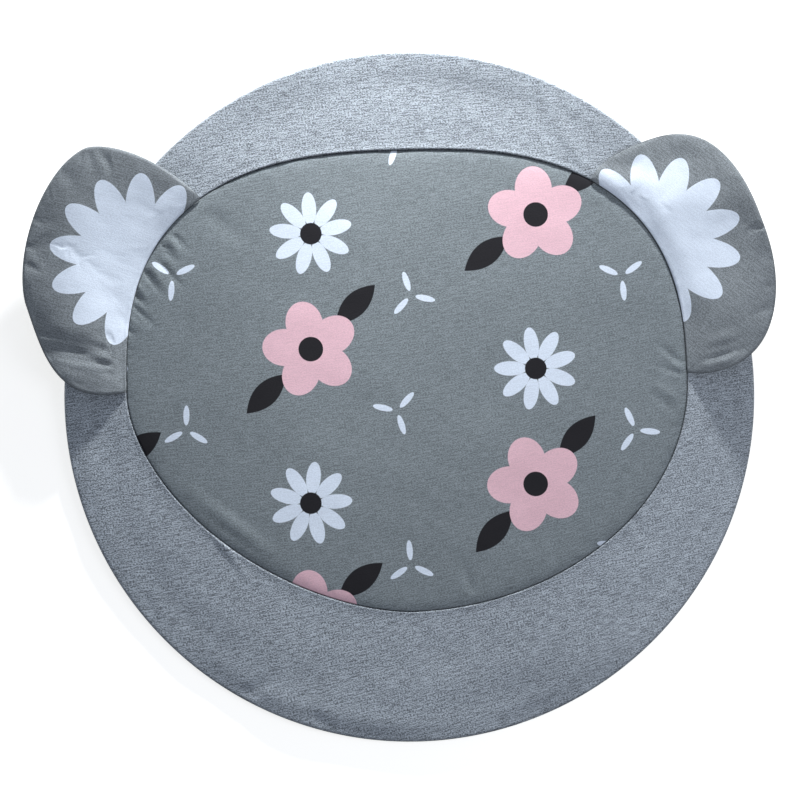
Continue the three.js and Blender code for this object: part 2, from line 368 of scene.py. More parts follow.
def nodeGroup(name, inputs, outputs):  # an empty group with named number or vector sockets
    group = bpy.data.node_groups.new(name, "ShaderNodeTree")
    for side, sockets in (("INPUT", inputs), ("OUTPUT", outputs)):
        for socket, kind in sockets:
            group.interface.new_socket(socket, in_out=side, socket_type="NodeSocket" + kind)
    return group, group.nodes.new("NodeGroupInput").outputs, group.nodes.new("NodeGroupOutput").inputs


melange = {
    # a run of darker or lighter fibres in the yarn, as far as the eye sees it
    "streakLong": 15, "streakWide": 1.2, "streakGain": 1.8,
    "fleckLong": 2.3, "fleckWide": 0.95, "fleckGain": 4.0,  # single tufts of fibre
    # a cone of yarn that runs a little darker or lighter for some rows
    "bandLong": 34, "bandWide": 3.2, "bandGain": 0.5,
    "noiseRoughness": 0.55,
    "rowPitch": 4.0, "rowGain": 0.16,  # three courses of knitting, which is as fine a row as shows here
    "rowWander": 0.9, "wanderLong": 26, "wanderWide": 9,  # the rows aren't quite straight
    "cloudSize": 90,  # uneven dyeing
}


def melangeGroup():
    # the tone of yarn spun from dark and light fibres, about 0 to 1, in the rows of its knitting
    tree, inside, out = nodeGroup(
        "melange yarn", [("Place", "Vector")], [("Tone", "Float"), ("Cloud", "Float")])
    tones = []
    for kind in ("streak", "fleck", "band"):
        long, wide, gain = melange[kind + "Long"], melange[kind + "Wide"], melange[kind + "Gain"]
        stretch = addNode(tree, "ShaderNodeMapping", {}, {
            "Vector": inside["Place"], "Scale": (1 / long, 1 / wide, 1)})
        noise = addNode(tree, "ShaderNodeTexNoise", {"noise_dimensions": "2D"}, {
            "Vector": stretch.outputs[0], "Scale": 1.0, "Detail": 1.0,
            "Roughness": melange["noiseRoughness"]})
        tones.append(addNode(tree, "ShaderNodeMath", {"operation": "MULTIPLY_ADD"}, {
            0: noise.outputs[0], 1: gain, 2: -gain / 2}).outputs[0])
    drift = addNode(tree, "ShaderNodeMapping", {}, {
        "Vector": inside["Place"], "Scale": (1 / melange["wanderLong"], 1 / melange["wanderWide"], 1)})
    wander = addNode(tree, "ShaderNodeTexNoise", {"noise_dimensions": "2D"}, {
        "Vector": drift.outputs[0], "Scale": 1.0, "Detail": 1.0})
    split = addNode(tree, "ShaderNodeSeparateXYZ", {}, {0: inside["Place"]})
    row = addNode(tree, "ShaderNodeMath", {"operation": "DIVIDE"}, {
        0: split.outputs[1], 1: melange["rowPitch"]})
    shifted = addNode(tree, "ShaderNodeMath", {"operation": "MULTIPLY_ADD"}, {
        0: wander.outputs[0], 1: 2 * melange["rowWander"], 2: row.outputs[0]})
    turns = addNode(tree, "ShaderNodeMath", {"operation": "MULTIPLY"}, {
        0: shifted.outputs[0], 1: 2 * math.pi})
    rows = addNode(tree, "ShaderNodeMath", {"operation": "SINE"}, {0: turns.outputs[0]})
    both = addNode(tree, "ShaderNodeMath", {"operation": "ADD"}, {0: tones[0], 1: tones[1]})
    banded = addNode(tree, "ShaderNodeMath", {"operation": "ADD"}, {0: both.outputs[0], 1: tones[2]})
    whole = addNode(tree, "ShaderNodeMath", {"operation": "MULTIPLY_ADD"}, {
        0: rows.outputs[0], 1: melange["rowGain"], 2: banded.outputs[0]})
    tone = addNode(tree, "ShaderNodeMath", {"operation": "ADD", "use_clamp": True}, {
        0: whole.outputs[0], 1: 0.5})
    cloud = addNode(tree, "ShaderNodeTexNoise", {"noise_dimensions": "2D"}, {
        "Vector": inside["Place"], "Scale": 1 / melange["cloudSize"], "Detail": 2.0})
    tree.links.new(tone.outputs[0], out["Tone"])
    tree.links.new(cloud.outputs[0], out["Cloud"])
    return tree


def repeatGroup():  # a half-drop repeat: each point's place about the middle of its own motif
    tree, inside, out = nodeGroup("half-drop repeat", [("Place", "Vector"), ("Pitch", "Vector")],
                                  [("Place", "Vector"), ("Chance", "Float")])
    place = addNode(tree, "ShaderNodeSeparateXYZ", {}, {0: inside["Place"]}).outputs
    pitch = addNode(tree, "ShaderNodeSeparateXYZ", {}, {0: inside["Pitch"]}).outputs
    columns = addNode(tree, "ShaderNodeMath", {"operation": "DIVIDE"}, {0: place[0], 1: pitch[0]})
    column = addNode(tree, "ShaderNodeMath", {"operation": "ROUND"}, {0: columns.outputs[0]})
    drop = addNode(tree, "ShaderNodeMath", {"operation": "MULTIPLY"}, {0: column.outputs[0], 1: 0.5})
    rows = addNode(tree, "ShaderNodeMath", {"operation": "DIVIDE"}, {0: place[1], 1: pitch[1]})
    dropped = addNode(tree, "ShaderNodeMath", {"operation": "ADD"}, {0: rows.outputs[0], 1: drop.outputs[0]})
    row = addNode(tree, "ShaderNodeMath", {"operation": "ROUND"}, {0: dropped.outputs[0]})
    cell = addNode(tree, "ShaderNodeCombineXYZ", {}, {0: column.outputs[0], 1: row.outputs[0]})
    chance = addNode(tree, "ShaderNodeTexWhiteNoise", {"noise_dimensions": "2D"}, {"Vector": cell.outputs[0]})
    share = addNode(tree, "ShaderNodeMath", {"operation": "SUBTRACT"}, {
        0: columns.outputs[0], 1: column.outputs[0]})
    part = addNode(tree, "ShaderNodeMath", {"operation": "SUBTRACT"}, {
        0: dropped.outputs[0], 1: row.outputs[0]})
    away = addNode(tree, "ShaderNodeCombineXYZ", {}, {0: share.outputs[0], 1: part.outputs[0]})
    local = addNode(tree, "ShaderNodeVectorMath", {"operation": "MULTIPLY"}, {
        0: away.outputs[0], 1: inside["Pitch"]})
    tree.links.new(local.outputs[0], out["Place"])
    tree.links.new(chance.outputs[0], out["Chance"])
    return tree


inkEdge = 1.6  # an edge of the print fades over 1 / 1.6 of a millimetre


def petalGroup():  # a ring of petals, leaves or dots: 1 inside them and 0 outside
    tree, inside, out = nodeGroup("ring of petals", [
        ("Place", "Vector"), ("Petals", "Float"), ("From middle", "Float"), ("Half length", "Float"),
        ("Half width", "Float"), ("Point", "Float"), ("Turn", "Float")], [("Mask", "Float")])
    place = addNode(tree, "ShaderNodeSeparateXYZ", {}, {0: inside["Place"]}).outputs
    angle = addNode(tree, "ShaderNodeMath", {"operation": "ARCTAN2"}, {0: place[1], 1: place[0]})
    turned = addNode(tree, "ShaderNodeMath", {"operation": "SUBTRACT"}, {
        0: angle.outputs[0], 1: inside["Turn"]})
    halfSector = addNode(tree, "ShaderNodeMath", {"operation": "DIVIDE"}, {0: math.pi, 1: inside["Petals"]})
    other = addNode(tree, "ShaderNodeMath", {"operation": "MULTIPLY"}, {0: halfSector.outputs[0], 1: -1.0})
    folded = addNode(tree, "ShaderNodeMath", {"operation": "WRAP"}, {
        0: turned.outputs[0], 1: halfSector.outputs[0], 2: other.outputs[0]})
    flatPlace = addNode(tree, "ShaderNodeCombineXYZ", {}, {0: place[0], 1: place[1]})
    radius = addNode(tree, "ShaderNodeVectorMath", {"operation": "LENGTH"}, {
        0: flatPlace.outputs[0]}).outputs["Value"]
    cosine = addNode(tree, "ShaderNodeMath", {"operation": "COSINE"}, {0: folded.outputs[0]})
    sine = addNode(tree, "ShaderNodeMath", {"operation": "SINE"}, {0: folded.outputs[0]})
    outward = addNode(tree, "ShaderNodeMath", {"operation": "MULTIPLY"}, {0: radius, 1: cosine.outputs[0]})
    off = addNode(tree, "ShaderNodeMath", {"operation": "MULTIPLY"}, {0: radius, 1: sine.outputs[0]})
    along = addNode(tree, "ShaderNodeMath", {"operation": "SUBTRACT"}, {
        0: outward.outputs[0], 1: inside["From middle"]})
    share = addNode(tree, "ShaderNodeMath", {"operation": "DIVIDE"}, {
        0: along.outputs[0], 1: inside["Half length"]})
    square = addNode(tree, "ShaderNodeMath", {"operation": "MULTIPLY"}, {
        0: share.outputs[0], 1: share.outputs[0]})
    left = addNode(tree, "ShaderNodeMath", {"operation": "SUBTRACT", "use_clamp": True}, {
        0: 1.0, 1: square.outputs[0]})
    bulge = addNode(tree, "ShaderNodeMath", {"operation": "POWER"}, {0: left.outputs[0], 1: inside["Point"]})
    width = addNode(tree, "ShaderNodeMath", {"operation": "MULTIPLY"}, {
        0: bulge.outputs[0], 1: inside["Half width"]})
    far = addNode(tree, "ShaderNodeMath", {"operation": "ABSOLUTE"}, {0: off.outputs[0]})
    depth = addNode(tree, "ShaderNodeMath", {"operation": "SUBTRACT"}, {
        0: width.outputs[0], 1: far.outputs[0]})
    soft = addNode(tree, "ShaderNodeMath", {"operation": "MULTIPLY_ADD", "use_clamp": True}, {
        0: depth.outputs[0], 1: inkEdge, 2: 0.5})
    within = addNode(tree, "ShaderNodeMath", {"operation": "GREATER_THAN"}, {0: left.outputs[0], 1: 1e-4})
    mask = addNode(tree, "ShaderNodeMath", {"operation": "MULTIPLY"}, {
        0: soft.outputs[0], 1: within.outputs[0]})
    tree.links.new(mask.outputs[0], out["Mask"])
    return tree


inks = {"white": "#dee5ef", "pink": "#e6bbc2", "black": "#211f22"}
melangeYarn, halfDrop, petalRing = melangeGroup(), repeatGroup(), petalGroup()
noRepeat = (9e3, 9e3)  # a pitch wider than the mat, so that a motif comes once
# cotton: the ink leaves its surface a little smoother than the bare fibres
cotton = {"roughness": 0.93, "inkSmoother": 0.1, "ior": 1.46, "specular": 0.2, "fuzzRoughness": 0.5}


def jersey(name, look, motifs=(), pitch=noRepeat, start=(0, 0)):
    # a motif's row: ink, x, y, petals, from middle, half length, half width, point, turn and sway in degrees
    material = bpy.data.materials.new(name)
    material.use_nodes = True
    tree = material.node_tree
    shader = tree.nodes["Principled BSDF"]
    cloth = addNode(tree, "ShaderNodeUVMap", {"uv_map": "cloth"})
    yarn = addNode(tree, "ShaderNodeGroup", {"node_tree": melangeYarn}, {"Place": cloth.outputs[0]})
    coordinates = addNode(tree, "ShaderNodeTexCoord")
    place = addNode(tree, "ShaderNodeVectorMath", {"operation": "SCALE"}, {
        0: coordinates.outputs["Object"], "Scale": 1000.0})  # millimetres
    colour = addNode(tree, "ShaderNodeRGB")
    colour.outputs[0].default_value = linearColour(look["ground"])
    colour = colour.outputs[0]
    printed = 0.0
    for ink, x, y, petals, fromMiddle, halfLength, halfWidth, point, turn, sway in motifs:
        moved = addNode(tree, "ShaderNodeVectorMath", {"operation": "SUBTRACT"}, {
            0: place.outputs[0], 1: (start[0] + x, start[1] + y, 0)})
        cell = addNode(tree, "ShaderNodeGroup", {"node_tree": halfDrop}, {
            "Place": moved.outputs[0], "Pitch": (*pitch, 1)})
        swayed = addNode(tree, "ShaderNodeMath", {"operation": "MULTIPLY_ADD"}, {
            0: cell.outputs["Chance"], 1: math.radians(2 * sway), 2: math.radians(turn - sway)})
        motif = addNode(tree, "ShaderNodeGroup", {"node_tree": petalRing}, {
            "Place": cell.outputs["Place"], "Petals": petals, "From middle": fromMiddle,
            "Half length": halfLength, "Half width": halfWidth, "Point": point, "Turn": swayed.outputs[0]})
        colour = addNode(tree, "ShaderNodeMix", {"data_type": "RGBA"}, {
            0: motif.outputs[0], 6: colour, 7: linearColour(inks[ink])}).outputs[2]
        printed = addNode(tree, "ShaderNodeMath", {"operation": "MAXIMUM"}, {
            0: printed, 1: motif.outputs[0]}).outputs[0]
    swing = addNode(tree, "ShaderNodeMath", {"operation": "MULTIPLY_ADD"}, {
        0: printed, 1: look["inkSwing"] - look["swing"], 2: look["swing"]})  # ink evens out the yarn's tones
    tone = addNode(tree, "ShaderNodeMath", {"operation": "MULTIPLY_ADD"}, {
        0: yarn.outputs["Tone"], 1: 2.0, 2: -1.0})
    cloud = addNode(tree, "ShaderNodeMath", {"operation": "MULTIPLY_ADD"}, {
        0: yarn.outputs["Cloud"], 1: 2 * look["clouding"], 2: 1 - look["clouding"]})
    shade = addNode(tree, "ShaderNodeMath", {"operation": "MULTIPLY_ADD"}, {
        0: tone.outputs[0], 1: swing.outputs[0], 2: cloud.outputs[0]})
    seam = addNode(tree, "ShaderNodeAttribute", {"attribute_name": "seam"})
    paintedShadeFactor = addNode(tree, "ShaderNodeMath", {"operation": "MULTIPLY_ADD"}, {
        0: seam.outputs["Fac"], 1: -look["paintedSeamShade"], 2: 1.0})  # painted shade: the cloth's colour is darkened along a seam's fold, where shade falls
    whole = addNode(tree, "ShaderNodeMath", {"operation": "MULTIPLY"}, {
        0: shade.outputs[0], 1: paintedShadeFactor.outputs[0]})
    shaded = addNode(tree, "ShaderNodeVectorMath", {"operation": "SCALE"}, {
        0: colour, "Scale": whole.outputs[0]})
    tree.links.new(shaded.outputs[0], shader.inputs["Base Color"])
    gloss = addNode(tree, "ShaderNodeMath", {"operation": "MULTIPLY_ADD"}, {
        0: printed, 1: -cotton["inkSmoother"], 2: cotton["roughness"]})
    tree.links.new(gloss.outputs[0], shader.inputs["Roughness"])
    relief = addNode(tree, "ShaderNodeBump", {}, {
        "Height": yarn.outputs["Tone"], "Strength": 1.0, "Distance": look["relief"] * mm})
    tree.links.new(relief.outputs[0], shader.inputs["Normal"])
    shader.inputs["IOR"].default_value = cotton["ior"]
    shader.inputs["Specular IOR Level"].default_value = cotton["specular"]
    shader.inputs["Sheen Weight"].default_value = look["fuzz"]
    shader.inputs["Sheen Roughness"].default_value = cotton["fuzzRoughness"]
    return material


# cotton jersey knitted from yarn of dark and white fibres mixed before spinning: a matt grey full of short
# streaks that lie along the rows, with a faint fuzz
heatherJersey = jersey("heather cotton jersey, melange knit", {
    "ground": "#9ca1a6", "swing": 0.58, "inkSwing": 0.1, "clouding": 0.06, "relief": 0.07, "fuzz": 0.08,
    # the last value: how strongly shade is painted into the cloth's colour along its seams
    "paintedSeamShade": 0.45})

# the same knit in a darker, closer mix of greys, screen printed: a flatter grey, and ink that evens it out
printedLook = {
    "ground": "#7f8587", "swing": 0.3, "inkSwing": 0.07, "clouding": 0.05, "relief": 0.05, "fuzz": 0.08,
    # the last value: how strongly shade is painted into the cloth's colour along its seams
    "paintedSeamShade": 0.4}
panelMotifs = [
    ("white", 130, 70, 3, 19, 13, 4, 0.5, 90, 25),
    ("white", 112, -80, 3, 19, 13, 4, 0.5, 30, 25),
    ("black", 0, 0, 2, 82, 36, 15, 1.0, 35, 14),
    ("white", 0, 150, 9, 33, 21, 9.4, 0.5, 0, 20),
    ("black", 0, 150, 1, 0, 14, 14, 0.5, 0, 0),
    ("pink", 0, 0, 5, 34, 29, 24, 0.5, 18, 20),
    ("black", 0, 0, 1, 0, 16, 16, 0.5, 0, 0),
]
panelPitch, panelStart = (292, 350), (-128, 62)
printedJersey = jersey(
    "screen printed cotton jersey, panel", printedLook, panelMotifs, panelPitch, panelStart)


def fan(turn):  # half a daisy, spread from the middle of an ear's root
    return [("white", 0, 0, 13, 71, 42, 18.5, 0.5, turn, 0),
            ("white", 0, 0, 1, 0, 59, 59, 0.5, 0, 0)]


earLook = {**printedLook, "ground": "#838789"}  # the ears' ground is set a little lighter than the panel's
leftEarJersey = jersey("screen printed cotton jersey, left ear", earLook, fan(170), start=(-352, 176))
rightEarJersey = jersey("screen printed cotton jersey, right ear", earLook, fan(15), start=(316, 203))
print("materials made")


knitLean = 0.2  # the columns of knitting lean over by this share


def clothPlace(rows, x, y):  # a point's place on the flat cloth
    slope, perX, perY, perBoth = rows  # how steeply the knit rises to the right, and how that changes
    rise = slope * x + perX * x * x / 2 + perY * x * y + perBoth * x * x * y / 2
    return np.stack([x + knitLean * y, y - rise], -1)


# front panel: a wide oval set flush into the ring
frontPanel = {
    "cells": 236, "insets": [0, 0.4, 0.9, 1.7, 2.8, 5, 9],
    "seamLevel": 12.4, "seat": 5.3, "grooveDepth": 2.2, "roll": 2.4, "crown": 4.6, "crownWidth": 240,
    # the turned-in edge: a level on its way down, and how far it leans in there and at the seat
    "turnLevel": 9.0, "turnIn": 0.1, "seatIn": 0.4,
    "shallow": [(156, 24, 1.0)],  # where the seam is less deep: angle, half width in degrees, share
    "rows": (0.2, 2.6e-4, -1e-4, -1.1e-6),
    "creases": [
        (-320, -98, -140, -232, 30, 1.3, 0.5),
        (-276, 252, -196, 186, 34, -0.9, 0.3),
        (84, -258, 66, -200, 18, -0.9, 0.15),
        (357, 40, 313, 78, 14, -1.2, 0.3),  # from the lower end of the right ear's root
        (360, 32, 319, 61, 12, 0.9, 0.3),
        (360, 27, 310, 45, 10, -1.1, 0.25),
        (356, -8, 306, 25, 16, 0.9, 0.3),
        (347, -20, 300, 15, 14, -0.7, 0.3),
        (-348, 168, -316, 124, 8, -2.2, 0.2),  # from the left ear's root
        (-340, 176, -309, 130, 9, 1.7, 0.25),
        (-332, 184, -282, 128, 9, -1.9, 0.25),
        (-357, 152, -336, 120, 8, 1.5, 0.25),
        (-363, 140, -336, 110, 8, -2.0, 0.2),
        (-362, 122, -326, 86, 9, -2.0, 0.25),
        (-324, 203, -296, 166, 8, -1.8, 0.2),
        (-317, 212, -293, 178, 9, 1.5, 0.25),
        (-310, 216, -282, 184, 9, -1.7, 0.25),
        (-368, 108, -346, 84, 9, 1.2, 0.25),
        (-373, 96, -352, 72, 9, -1.7, 0.25),
        (-376, 74, -358, 56, 8, -1.2, 0.25),
    ],
    "gathers": {"seed": 4, "radius": 330, "spacing": 12, "length": 11, "base": 0.12,
                "places": [(158, 20, 0.75), (8, 12, 0.5), (283, 10, 0.3)]},
    "filling": {"seed": 11, "sizes": [(150, 0.22, 7), (70, 0.1, 9), (34, 0.035, 9)]},
    "hold": 0.10, "slack": 0.12, "slackPlaces": [(160, 24, 0.5), (8, 14, 0.4)], "slackDepth": 60,
    # the last value: how wide the shade painted along the panel's seam is
    "cap": 1.2, "fill": 0.4, "seamShadeWidth": 0.8,
}


blurTurns = range(-16, 17, 4)  # degrees to each side over which the inner loops even out the outline


def sheetInsets(angle, loop, cells, insets, inside, x, y):
    # how far each point of a square grid lies from the middle, and how far the edge does
    reached = reach(inside, x, y, angle)
    blurred = sum(reach(inside, x, y, angle + math.radians(turn)) for turn in blurTurns) / len(blurTurns)
    last = cells // 2
    count = len(insets) - 1
    inset = np.array(insets, float)[np.clip(last - loop, 0, count)]
    share = loop / (last - count)
    soft = (1 - share) ** 2  # the inner loops don't repeat the outline's corners
    inner = (reached + (blurred - reached) * soft - insets[-1]) * share
    return np.where(loop >= last - count, reached - inset, inner), reached


def panelSheet():
    p = frontPanel
    oval = outlines["panel"]
    angle, loop = squareGrid(p["cells"])
    distance = sheetInsets(angle, loop, p["cells"], p["insets"], insidePanel, oval["x"], oval["y"])[0]
    x = oval["x"] + distance * np.cos(angle)
    y = oval["y"] + distance * np.sin(angle)
    depth = insidePanel(x, y)
    opened = rounded(depth, p["roll"])
    g = p["gathers"]
    gathers = seamGathers(angle, depth, g["seed"], g["radius"], g["spacing"], g["length"])
    groove = p["grooveDepth"] * (1 - (1 - opened) * (1 - strongerAt(angle, 0, p["shallow"])))
    z = p["seamLevel"] + groove + p["crown"] * eased(depth - p["roll"], p["crownWidth"])
    filling = looseFilling(x, y, p["filling"]["seed"], p["filling"]["sizes"])
    z += opened * (creaseHeight(p["creases"], x, y) + filling)
    z += opened * gathers * strongerAt(angle, g["base"], g["places"])
    return np.stack([x, y, z], -1), angle, loop, depth


def makePanel():
    p = frontPanel
    points, angle, loop, depth = panelSheet()
    flat = clothPlace(p["rows"], points[..., 0], points[..., 1])
    coarse = (slice(None, None, 2), slice(None, None, 2))
    edge = loop[coarse] >= p["cells"] // 2
    hold = np.where(edge, 1.0, p["hold"])
    slack = strongerAt(angle[coarse], p["slack"], p["slackPlaces"]) * np.exp(-depth[coarse] / p["slackDepth"])
    move = refined(settledCloth("panel", points[coarse], hold, slack, False, p["cap"]), False)
    points = points + move
    # the turned-in edge and the flat back, which nobody sees
    side = p["cells"] + 1
    rim = edgeLoop(p["cells"])
    count = len(rim)
    top = points.reshape(-1, 3)
    walls = []
    for level, shrink in ((p["turnLevel"], p["turnIn"]), (p["seat"], p["seatIn"])):
        wall = top[rim].copy()
        away = wall[:, :2] - (outlines["panel"]["x"], outlines["panel"]["y"])
        wall[:, :2] -= away / np.linalg.norm(away, axis=1, keepdims=True) * shrink
        wall[:, 2] = level
        walls.append(wall)
    allPoints = np.concatenate([top, *walls, [[outlines["panel"]["x"], outlines["panel"]["y"], p["seat"]]]])
    faces = [tuple(f) for f in gridFaces(side, side)]
    loops = [rim, np.arange(count) + len(top), np.arange(count) + len(top) + count]
    for above, below in zip(loops, loops[1:]):
        faces += [tuple(f) for f in np.stack([above, below, np.roll(below, -1), np.roll(above, -1)], -1)]
    pole = len(allPoints) - 1
    faces += [(pole, int(b), int(a)) for a, b in zip(loops[-1], np.roll(loops[-1], -1))]
    flatRest = clothPlace(p["rows"], allPoints[len(top):, 0], allPoints[len(top):, 1])
    flatAll = np.concatenate([flat.reshape(-1, 2), flatRest])
    # painted shade along the panel's seam, strongest at its edge
    seam = np.exp(-(insidePanel(allPoints[:, 0], allPoints[:, 1]) / p["seamShadeWidth"]) ** 2)
    return makePiece("panelCover", allPoints, faces, flatAll, seam, printedJersey)


panelCover = makePanel()
print("front panel made")


# ring and back of the mat: one filled disc with a flat hollow that the front panel lies in
discCover = {
    "slices": 900,
    "seamGap": 0.6, "pastSeam": [0.02, 0.3, 0.8, 1.5, 2.4, 4.4, 8], "acrossSteps": 29,
    "fromRim": [62, 50, 40, 31, 24, 18.5, 13.5, 9.5, 6.5, 4.4, 2.9, 1.8, 0.9, 0.3, 0, 0.25, 0.9],
    "underRim": [0.25, 0, 0.35, 1.2, 3, 5, 8, 12, 16], "underShares": [0.92, 0.8, 0.6, 0.4, 0.2],
    "loft": 15, "seamHigh": 4.6, "seamMiddle": 4.0, "seamLow": 3.4, "underWidth": 16, "shoulder": 3.4,
    "groove": 2.4, "grooveDepth": 2.2, "seat": 5, "footIn": 0.15,
    "narrow": 82,  # the loops lie closer together where the ring is narrower than this
    "crown": 1.0, "crownLean": 0.7, "topSlope": 1.8, "lowSlope": 3.8, "lowTo": -100, "topFrom": 250,
    "flatFrom": -50, "flatTo": -8,  # how far inside an ear's outline the ring is pressed flat
    "calm": 30,  # the creases and the loose filling fade out so near the rim
    "rows": (0.193, 2.5e-5, -2.6e-4, -9.3e-7),
    "thinning": [  # where the filling runs thin at the rim: angle, half width in degrees, drop, how far in
        (262, 14, 3.4, 30), (243, 6, 1.6, 24), (290, 10, 6.0, 90), (306, 6, 2.2, 40),
        (222, 18, 4.6, 100), (236, 6, 2.4, 46), (197, 5, 1.4, 30), (326, 8, 3.2, 70), (345, 8, 1.6, 40),
        (297, 9, 2.0, 40), (122, 13, 4.5, 95), (80, 12, -2.0, 60), (58, 9, 1.4, 60),
    ],
    "creases": [
        (158, 418, 238, 276, 24, 1.5, 0.5),
        (-266, -158, -196, -256, 18, 1.2, 0.4),
        (-228, -396, -160, -358, 34, -2.0, 0.4),
        (-140, -405, -96, -432, 28, -1.4, 0.5),
        (314, -272, 372, -246, 26, 1.0, 0.4),
        (284, -142, 322, -206, 24, -1.0, 0.3),
        (-350, -246, -330, -292, 24, -0.9, 0.4),
    ],
    "gathers": {"seed": 8, "radius": 345, "spacing": 15, "length": 7, "base": 0.12,
                "places": [(200, 14, 0.2), (345, 14, 0.2)]},
    "filling": {"seed": 21, "sizes": [(140, 0.3, 7), (64, 0.14, 9), (30, 0.04, 9)]},
    "hold": 0.10, "rimHold": 0.5, "rimHoldWidth": 40, "sewnLoops": 5,
    "slack": 0.14, "slackPlaces": [(200, 14, 0.3), (345, 14, 0.3)], "slackDepth": 60,
    # widths of the shade painted along the panel's seam and along the rim
    "cap": 1.2, "fill": 0.35, "seamShadeWidth": 0.9, "rimShadeWidth": 2.6,
    "paintedRimShade": 0.3, "paintedRimShadePlaces": [(280, 90, 0.9)],  # painted shade along the rim's seam, stronger at the lower edge, the side away from the lamp
}


def discSheet():
    d = discCover
    middle = outlines["panel"]
    angle = np.arange(d["slices"]) * 2 * np.pi / d["slices"]
    rim = reach(insideDisc, middle["x"], middle["y"], angle)[:, None]
    seam = reach(insidePanel, middle["x"], middle["y"], angle)[:, None] + d["seamGap"]
    inner = seam + d["pastSeam"][-1]
    insets = d["fromRim"] * np.minimum(1, (rim - seam) / d["narrow"])
    outer = rim - insets[:, :1]
    steps = np.linspace(0, 1, d["acrossSteps"] + 2)[1:-1]
    distance = np.concatenate([seam + d["pastSeam"], inner + (outer - inner) * steps, rim - insets], 1)
    around = angle[:, None] + np.zeros_like(distance)
    x = middle["x"] + distance * np.cos(around)
    y = middle["y"] + distance * np.sin(around)
    past = distance - seam
    inside = insideDisc(x, y)
    thin = 0
    for place, halfWidth, drop, wide in d["thinning"]:
        amount = strongerAt(np.arctan2(y, x), 0, [(place, halfWidth, drop)])
        thin = thin + amount * (1 - smoothStep(inside, 0, wide))
    share = np.clip(inside / (inside + np.maximum(past, 0) + 1e-6), 0, 1)  # 0 at the rim, 1 at the seam
    upper = smoothStep(y, d["lowTo"], d["topFrom"])
    low = d["crown"] * np.sin(np.pi * share ** d["crownLean"]) - d["lowSlope"] * (1 - share ** 2)
    swell = (1 - upper) * low + upper * d["topSlope"] * share ** 2
    underEar = np.maximum(insideOval("earLeft", x, y), insideOval("earRight", x, y))
    swell = swell * (1 - smoothStep(underEar, d["flatFrom"], d["flatTo"]))
    ring = d["seamHigh"] + (d["loft"] - d["seamHigh"] - thin + swell) * rounded(inside, d["shoulder"])
    opened = rounded(past, d["groove"])
    z = ring - d["grooveDepth"] * (1 - opened)
    filling = looseFilling(x, y, d["filling"]["seed"], d["filling"]["sizes"])
    z += opened * rounded(inside, d["calm"]) * (creaseHeight(d["creases"], x, y) + filling)
    g = d["gathers"]
    gathers = seamGathers(around, past, g["seed"], g["radius"], g["spacing"], g["length"])
    z += opened * gathers * strongerAt(around, g["base"], g["places"])
    z[:, -2] = (d["seamHigh"] + d["seamMiddle"]) / 2
    z[:, -1] = d["seamMiddle"]
    return np.stack([x, y, z], -1), around, past, inside


